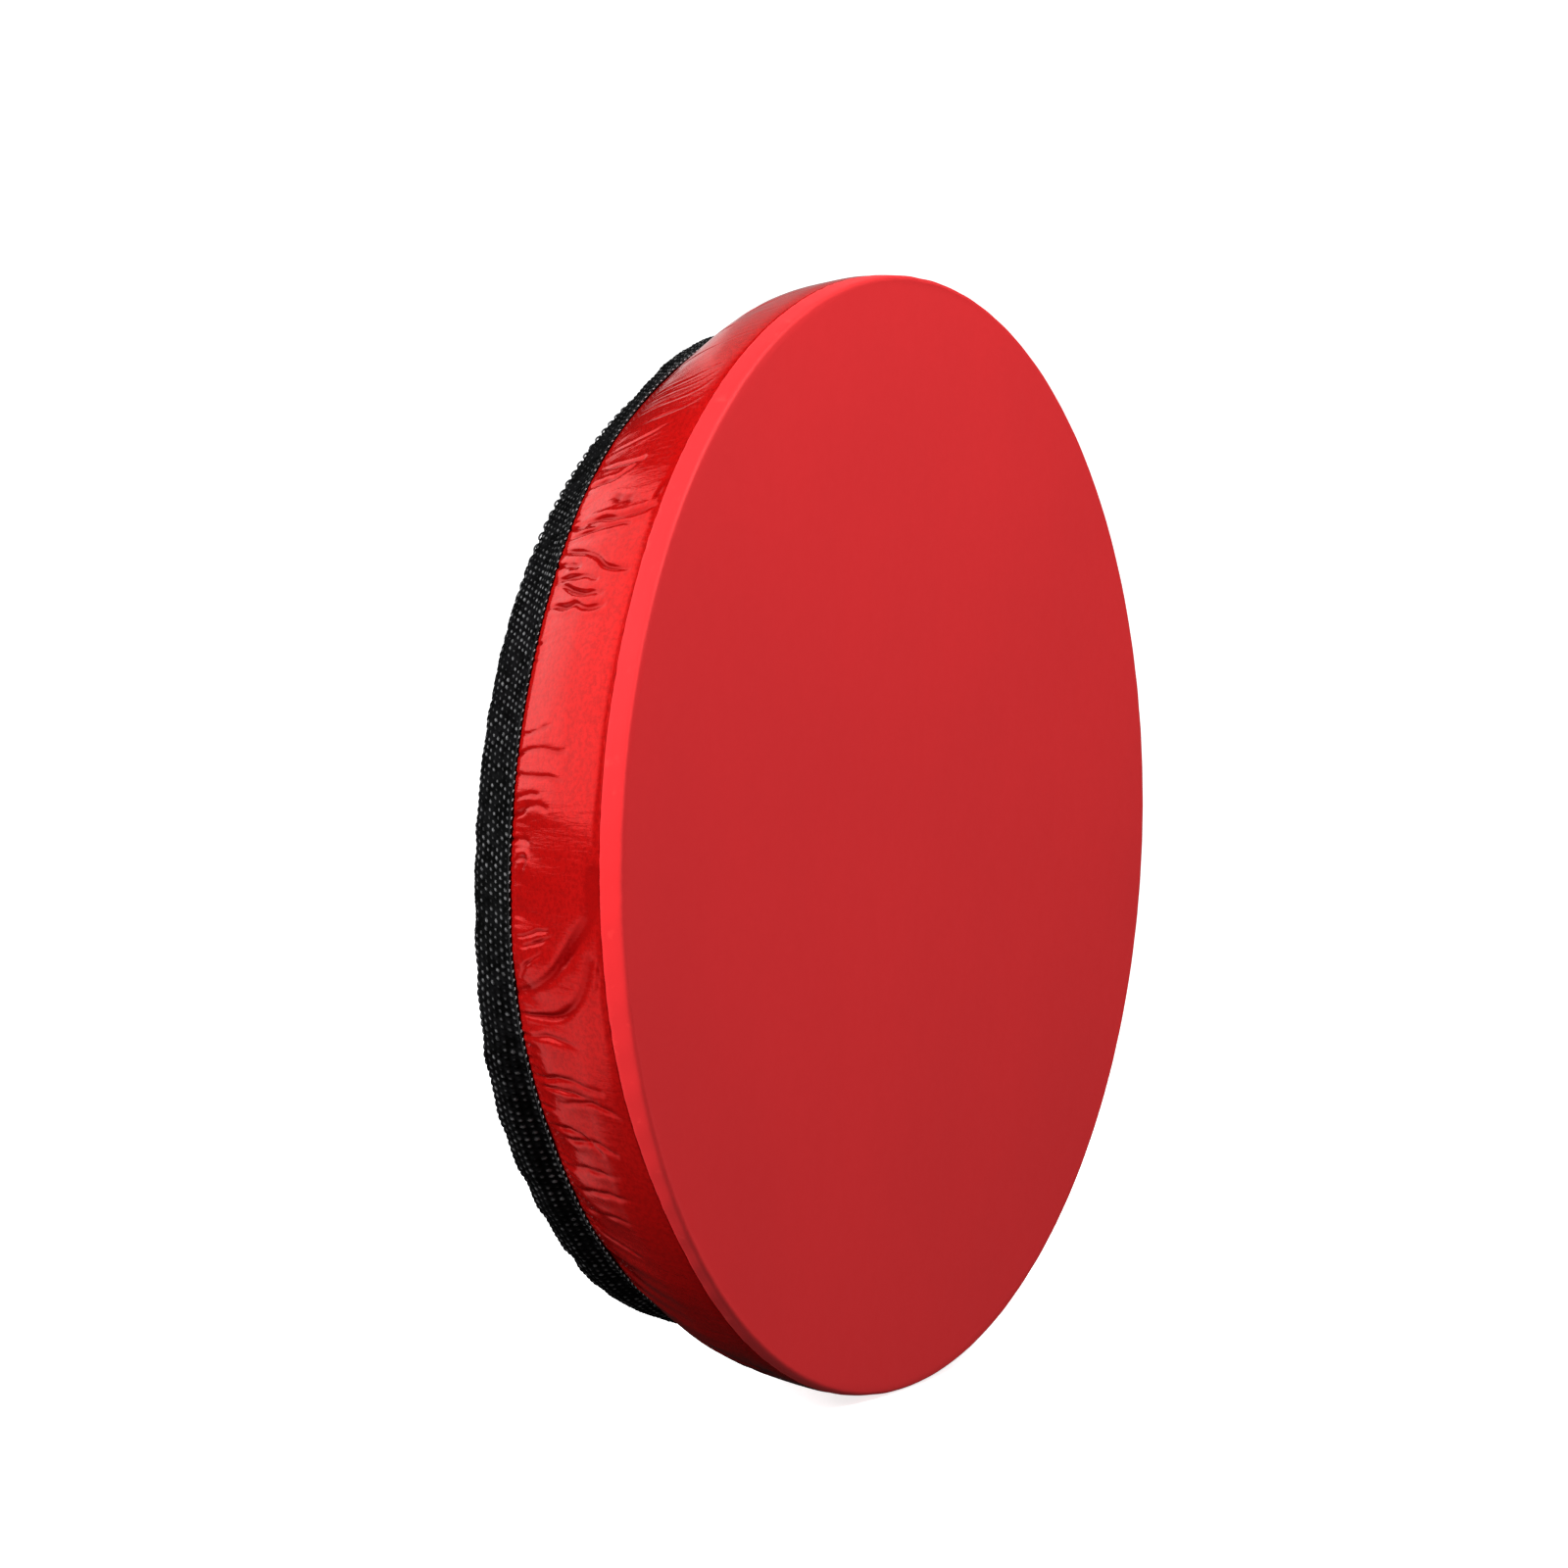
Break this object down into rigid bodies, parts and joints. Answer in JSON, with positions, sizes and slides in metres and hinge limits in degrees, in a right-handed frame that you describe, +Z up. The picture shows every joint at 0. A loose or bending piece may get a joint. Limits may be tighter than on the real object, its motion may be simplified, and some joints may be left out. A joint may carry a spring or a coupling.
{
  "type": "racket sports paddle case",
  "caption": "Round padded hard-sided case for table tennis paddles: red face and tapered glossy side wall, black woven band, and a zipped back door that folds down.",
  "frame": {"origin": "centre of the flat front face", "axes": "+Y through the case from the front face to the zipped back door, +Z up with the case standing on its edge, +X to the right seen from the front"},
  "size_m": [0.2916, 0.056, 0.285],
  "materials": {
    "red_matte": "matte",
    "red_gloss": "gloss",
    "black_webbing": "matte",
    "black_cover": "matte",
    "foam": "matte",
    "board": "matte",
    "lining": "matte",
    "cord": "matte",
    "binding": "matte",
    "zip_tape": "matte",
    "zip_coil": "satin",
    "zip_metal": "satin",
    "grip_rubber": "matte",
    "elastic": "matte"
  },
  "bodies": {
    "case_body": {"front_cover": "red_matte", "side_wall_cover": "red_gloss", "woven_band": "black_webbing", "lower_panel_cover": "black_cover", "front_padding": "foam", "side_wall_padding": "foam", "lower_panel_padding": "foam", "front_stiffener": "board", "side_wall_stiffener": "board", "lower_panel_stiffener": "board", "front_lining": "lining", "side_wall_lining": "lining", "lower_panel_lining": "lining", "front_rim_cord": "cord", "back_rim_cord": "cord", "front_seam_binding": "binding", "back_seam_binding": "binding", "zip_tape_body": "zip_tape", "zip_tape_ends": "zip_tape", "zip_coil_body": "zip_coil", "zip_coil_ends": "zip_coil", "zip_end_stops": "zip_metal", "hinge_strip_body": "black_webbing", "elastic_strap_upper": "elastic", "elastic_strap_lower": "elastic", "ring_tab": "black_webbing"},
    "door": {"door_cover": "black_cover", "door_padding": "foam", "door_stiffener": "board", "door_lining": "lining", "door_edge_binding": "binding", "zip_tape_door": "zip_tape", "zip_coil_door": "zip_coil", "hinge_strip_door": "black_webbing"},
    "slider": {"slider_body": "zip_metal"},
    "pull": {"pull_tab": "zip_metal", "pull_grip": "grip_rubber"},
    "carry_ring": {"carry_ring": "zip_metal"},
    "wrist_loop": {"wrist_loop": "black_webbing"}
  },
  "joints": [
    {"name": "door_hinge", "type": "hinge", "parent": "case_body", "child": "door", "pos_m": [0, 0.0515, -0.094], "axis": [-1, 0, 0], "range_deg": [0, 100]},
    {"name": "slider_travel", "type": "hinge", "parent": "case_body", "child": "slider", "pos_m": [0, 0.052, 0], "axis": [0, -1, 0], "range_deg": [0, 320]},
    {"name": "pull_pivot", "type": "hinge", "parent": "slider", "child": "pull", "pos_m": [0.03909, 0.054, -0.10741], "axis": [0.342, 0, -0.9397], "range_deg": [0, 175]},
    {"name": "ring_swing", "type": "hinge", "parent": "case_body", "child": "carry_ring", "pos_m": [0.1329, 0.0427, -0.003], "axis": [0, -1, 0], "range_deg": [0, 80]},
    {"name": "loop_swing", "type": "hinge", "parent": "carry_ring", "child": "wrist_loop", "pos_m": [0.1329, 0.0427, -0.0135], "axis": [0, -1, 0], "range_deg": [0, 75]}
  ]
}
